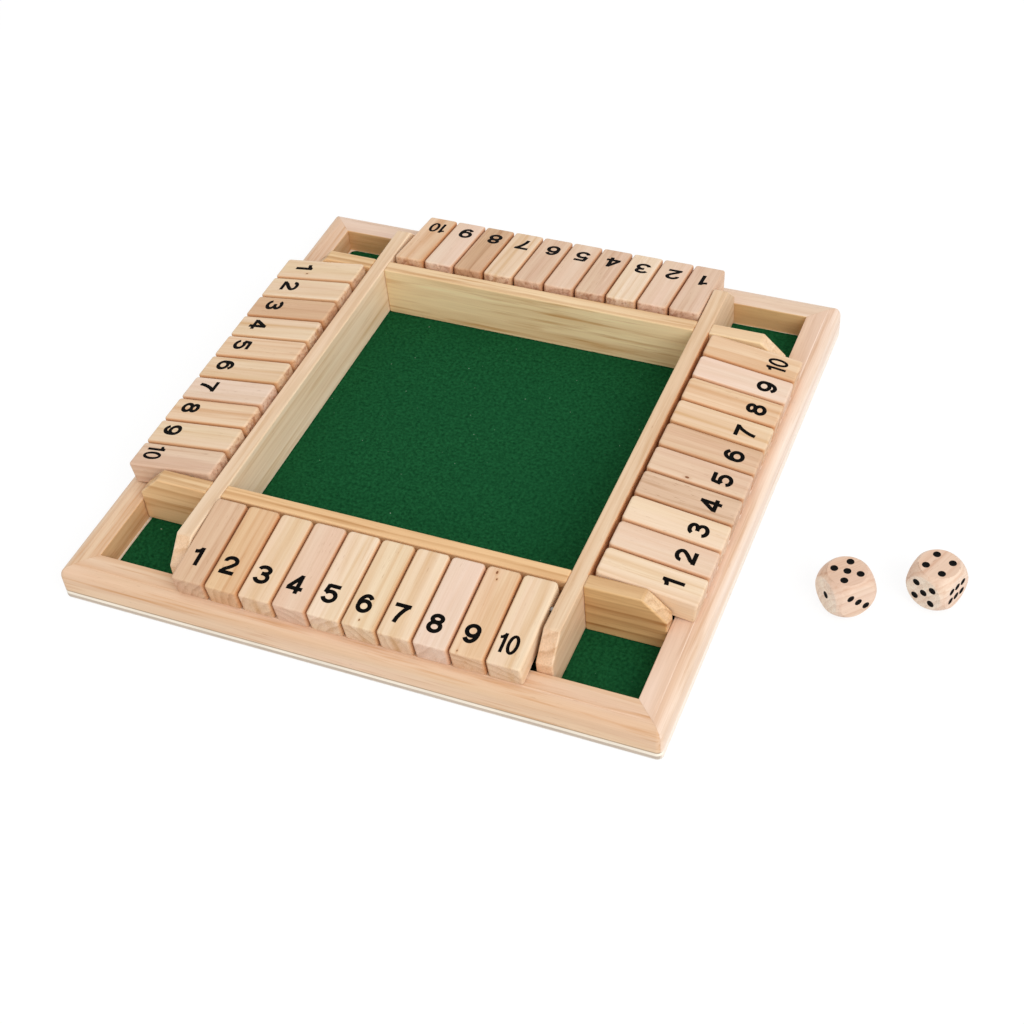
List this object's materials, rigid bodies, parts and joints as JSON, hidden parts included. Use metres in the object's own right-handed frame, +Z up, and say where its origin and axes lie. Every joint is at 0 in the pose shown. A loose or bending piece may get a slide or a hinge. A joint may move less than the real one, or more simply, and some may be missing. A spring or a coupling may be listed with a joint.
{
  "type": "shut the box game",
  "caption": "Square wooden shut the box game with a felt-lined tray, numbered tiles that tip over on steel rods along each side, corner pockets and a pair of wooden dice.",
  "frame": {"origin": "middle of the underside of the board, on the table", "axes": "+X to the right along the front edge, +Y to the back, +Z up"},
  "size_m": [0.3994, 0.299, 0.0367],
  "materials": {
    "ply": "plywood edge, clear satin lacquer",
    "felt": "short dark green felt",
    "pine_frame": "planed pine, clear satin lacquer",
    "pine_wall": "planed pine, clear satin lacquer",
    "steel": "drawn steel rod",
    "beech": "turned beech, satin, black pips",
    "tile_cream": "pine, pale straight grain",
    "tile_pale": "pine, palest pink",
    "tile_pink": "pine, pinkish",
    "tile_tan": "pine, orange tan",
    "tile_brown": "pine, darker brown"
  },
  "bodies": {
    "board": {"base_board": "ply", "felt_lining": "felt", "die_near": "beech", "die_far": "beech", "frame_front": "pine_frame", "rod_front": "steel", "frame_right": "pine_frame", "rod_right": "steel", "frame_back": "pine_frame", "rod_back": "steel", "frame_left": "pine_frame", "rod_left": "steel", "rail_left": "pine_wall", "rail_right": "pine_wall", "cross_front": "pine_wall", "cross_back": "pine_wall", "stub_front_left": "pine_wall", "stub_front_right": "pine_wall", "stub_back_left": "pine_wall", "stub_back_right": "pine_wall"},
    "flap_front_1": {"tile_front_1": "tile_pink"},
    "flap_front_2": {"tile_front_2": "tile_tan"},
    "flap_front_3": {"tile_front_3": "tile_cream"},
    "flap_front_4": {"tile_front_4": "tile_pale"},
    "flap_front_5": {"tile_front_5": "tile_cream"},
    "flap_front_6": {"tile_front_6": "tile_cream"},
    "flap_front_7": {"tile_front_7": "tile_cream"},
    "flap_front_8": {"tile_front_8": "tile_pale"},
    "flap_front_9": {"tile_front_9": "tile_tan"},
    "flap_front_10": {"tile_front_10": "tile_cream"},
    "flap_right_1": {"tile_right_1": "tile_cream"},
    "flap_right_2": {"tile_right_2": "tile_pale"},
    "flap_right_3": {"tile_right_3": "tile_cream"},
    "flap_right_4": {"tile_right_4": "tile_brown"},
    "flap_right_5": {"tile_right_5": "tile_pink"},
    "flap_right_6": {"tile_right_6": "tile_tan"},
    "flap_right_7": {"tile_right_7": "tile_cream"},
    "flap_right_8": {"tile_right_8": "tile_tan"},
    "flap_right_9": {"tile_right_9": "tile_pale"},
    "flap_right_10": {"tile_right_10": "tile_tan"},
    "flap_back_1": {"tile_back_1": "tile_pink"},
    "flap_back_2": {"tile_back_2": "tile_pale"},
    "flap_back_3": {"tile_back_3": "tile_cream"},
    "flap_back_4": {"tile_back_4": "tile_pink"},
    "flap_back_5": {"tile_back_5": "tile_pale"},
    "flap_back_6": {"tile_back_6": "tile_pink"},
    "flap_back_7": {"tile_back_7": "tile_cream"},
    "flap_back_8": {"tile_back_8": "tile_brown"},
    "flap_back_9": {"tile_back_9": "tile_pale"},
    "flap_back_10": {"tile_back_10": "tile_tan"},
    "flap_left_1": {"tile_left_1": "tile_cream"},
    "flap_left_2": {"tile_left_2": "tile_cream"},
    "flap_left_3": {"tile_left_3": "tile_pink"},
    "flap_left_4": {"tile_left_4": "tile_cream"},
    "flap_left_5": {"tile_left_5": "tile_tan"},
    "flap_left_6": {"tile_left_6": "tile_cream"},
    "flap_left_7": {"tile_left_7": "tile_pale"},
    "flap_left_8": {"tile_left_8": "tile_tan"},
    "flap_left_9": {"tile_left_9": "tile_cream"},
    "flap_left_10": {"tile_left_10": "tile_pink"}
  },
  "joints": [
    {"name": "flip_front_1", "type": "hinge", "parent": "board", "child": "flap_front_1", "pos_m": [0, -0.1092, 0.0308], "axis": [-1, 0, 0], "range_deg": [0, 127]},
    {"name": "flip_front_2", "type": "hinge", "parent": "board", "child": "flap_front_2", "pos_m": [0, -0.1092, 0.0308], "axis": [-1, 0, 0], "range_deg": [0, 152]},
    {"name": "flip_front_3", "type": "hinge", "parent": "board", "child": "flap_front_3", "pos_m": [0, -0.1092, 0.0308], "axis": [-1, 0, 0], "range_deg": [0, 152]},
    {"name": "flip_front_4", "type": "hinge", "parent": "board", "child": "flap_front_4", "pos_m": [0, -0.1092, 0.0308], "axis": [-1, 0, 0], "range_deg": [0, 152]},
    {"name": "flip_front_5", "type": "hinge", "parent": "board", "child": "flap_front_5", "pos_m": [0, -0.1092, 0.0308], "axis": [-1, 0, 0], "range_deg": [0, 152]},
    {"name": "flip_front_6", "type": "hinge", "parent": "board", "child": "flap_front_6", "pos_m": [0, -0.1092, 0.0308], "axis": [-1, 0, 0], "range_deg": [0, 152]},
    {"name": "flip_front_7", "type": "hinge", "parent": "board", "child": "flap_front_7", "pos_m": [0, -0.1092, 0.0308], "axis": [-1, 0, 0], "range_deg": [0, 152]},
    {"name": "flip_front_8", "type": "hinge", "parent": "board", "child": "flap_front_8", "pos_m": [0, -0.1092, 0.0308], "axis": [-1, 0, 0], "range_deg": [0, 152]},
    {"name": "flip_front_9", "type": "hinge", "parent": "board", "child": "flap_front_9", "pos_m": [0, -0.1092, 0.0308], "axis": [-1, 0, 0], "range_deg": [0, 152]},
    {"name": "flip_front_10", "type": "hinge", "parent": "board", "child": "flap_front_10", "pos_m": [0, -0.1092, 0.0308], "axis": [-1, 0, 0], "range_deg": [0, 127]},
    {"name": "flip_right_1", "type": "hinge", "parent": "board", "child": "flap_right_1", "pos_m": [0.1092, 0, 0.0308], "axis": [0, -1, 0], "range_deg": [0, 127]},
    {"name": "flip_right_2", "type": "hinge", "parent": "board", "child": "flap_right_2", "pos_m": [0.1092, 0, 0.0308], "axis": [0, -1, 0], "range_deg": [0, 152]},
    {"name": "flip_right_3", "type": "hinge", "parent": "board", "child": "flap_right_3", "pos_m": [0.1092, 0, 0.0308], "axis": [0, -1, 0], "range_deg": [0, 152]},
    {"name": "flip_right_4", "type": "hinge", "parent": "board", "child": "flap_right_4", "pos_m": [0.1092, 0, 0.0308], "axis": [0, -1, 0], "range_deg": [0, 152]},
    {"name": "flip_right_5", "type": "hinge", "parent": "board", "child": "flap_right_5", "pos_m": [0.1092, 0, 0.0308], "axis": [0, -1, 0], "range_deg": [0, 152]},
    {"name": "flip_right_6", "type": "hinge", "parent": "board", "child": "flap_right_6", "pos_m": [0.1092, 0, 0.0308], "axis": [0, -1, 0], "range_deg": [0, 152]},
    {"name": "flip_right_7", "type": "hinge", "parent": "board", "child": "flap_right_7", "pos_m": [0.1092, 0, 0.0308], "axis": [0, -1, 0], "range_deg": [0, 152]},
    {"name": "flip_right_8", "type": "hinge", "parent": "board", "child": "flap_right_8", "pos_m": [0.1092, 0, 0.0308], "axis": [0, -1, 0], "range_deg": [0, 152]},
    {"name": "flip_right_9", "type": "hinge", "parent": "board", "child": "flap_right_9", "pos_m": [0.1092, 0, 0.0308], "axis": [0, -1, 0], "range_deg": [0, 152]},
    {"name": "flip_right_10", "type": "hinge", "parent": "board", "child": "flap_right_10", "pos_m": [0.1092, 0, 0.0308], "axis": [0, -1, 0], "range_deg": [0, 127]},
    {"name": "flip_back_1", "type": "hinge", "parent": "board", "child": "flap_back_1", "pos_m": [0, 0.1092, 0.0308], "axis": [1, 0, 0], "range_deg": [0, 127]},
    {"name": "flip_back_2", "type": "hinge", "parent": "board", "child": "flap_back_2", "pos_m": [0, 0.1092, 0.0308], "axis": [1, 0, 0], "range_deg": [0, 152]},
    {"name": "flip_back_3", "type": "hinge", "parent": "board", "child": "flap_back_3", "pos_m": [0, 0.1092, 0.0308], "axis": [1, 0, 0], "range_deg": [0, 152]},
    {"name": "flip_back_4", "type": "hinge", "parent": "board", "child": "flap_back_4", "pos_m": [0, 0.1092, 0.0308], "axis": [1, 0, 0], "range_deg": [0, 152]},
    {"name": "flip_back_5", "type": "hinge", "parent": "board", "child": "flap_back_5", "pos_m": [0, 0.1092, 0.0308], "axis": [1, 0, 0], "range_deg": [0, 152]},
    {"name": "flip_back_6", "type": "hinge", "parent": "board", "child": "flap_back_6", "pos_m": [0, 0.1092, 0.0308], "axis": [1, 0, 0], "range_deg": [0, 152]},
    {"name": "flip_back_7", "type": "hinge", "parent": "board", "child": "flap_back_7", "pos_m": [0, 0.1092, 0.0308], "axis": [1, 0, 0], "range_deg": [0, 152]},
    {"name": "flip_back_8", "type": "hinge", "parent": "board", "child": "flap_back_8", "pos_m": [0, 0.1092, 0.0308], "axis": [1, 0, 0], "range_deg": [0, 152]},
    {"name": "flip_back_9", "type": "hinge", "parent": "board", "child": "flap_back_9", "pos_m": [0, 0.1092, 0.0308], "axis": [1, 0, 0], "range_deg": [0, 152]},
    {"name": "flip_back_10", "type": "hinge", "parent": "board", "child": "flap_back_10", "pos_m": [0, 0.1092, 0.0308], "axis": [1, 0, 0], "range_deg": [0, 127]},
    {"name": "flip_left_1", "type": "hinge", "parent": "board", "child": "flap_left_1", "pos_m": [-0.1092, 0, 0.0308], "axis": [0, 1, 0], "range_deg": [0, 127]},
    {"name": "flip_left_2", "type": "hinge", "parent": "board", "child": "flap_left_2", "pos_m": [-0.1092, 0, 0.0308], "axis": [0, 1, 0], "range_deg": [0, 152]},
    {"name": "flip_left_3", "type": "hinge", "parent": "board", "child": "flap_left_3", "pos_m": [-0.1092, 0, 0.0308], "axis": [0, 1, 0], "range_deg": [0, 152]},
    {"name": "flip_left_4", "type": "hinge", "parent": "board", "child": "flap_left_4", "pos_m": [-0.1092, 0, 0.0308], "axis": [0, 1, 0], "range_deg": [0, 152]},
    {"name": "flip_left_5", "type": "hinge", "parent": "board", "child": "flap_left_5", "pos_m": [-0.1092, 0, 0.0308], "axis": [0, 1, 0], "range_deg": [0, 152]},
    {"name": "flip_left_6", "type": "hinge", "parent": "board", "child": "flap_left_6", "pos_m": [-0.1092, 0, 0.0308], "axis": [0, 1, 0], "range_deg": [0, 152]},
    {"name": "flip_left_7", "type": "hinge", "parent": "board", "child": "flap_left_7", "pos_m": [-0.1092, 0, 0.0308], "axis": [0, 1, 0], "range_deg": [0, 152]},
    {"name": "flip_left_8", "type": "hinge", "parent": "board", "child": "flap_left_8", "pos_m": [-0.1092, 0, 0.0308], "axis": [0, 1, 0], "range_deg": [0, 152]},
    {"name": "flip_left_9", "type": "hinge", "parent": "board", "child": "flap_left_9", "pos_m": [-0.1092, 0, 0.0308], "axis": [0, 1, 0], "range_deg": [0, 152]},
    {"name": "flip_left_10", "type": "hinge", "parent": "board", "child": "flap_left_10", "pos_m": [-0.1092, 0, 0.0308], "axis": [0, 1, 0], "range_deg": [0, 127]}
  ]
}
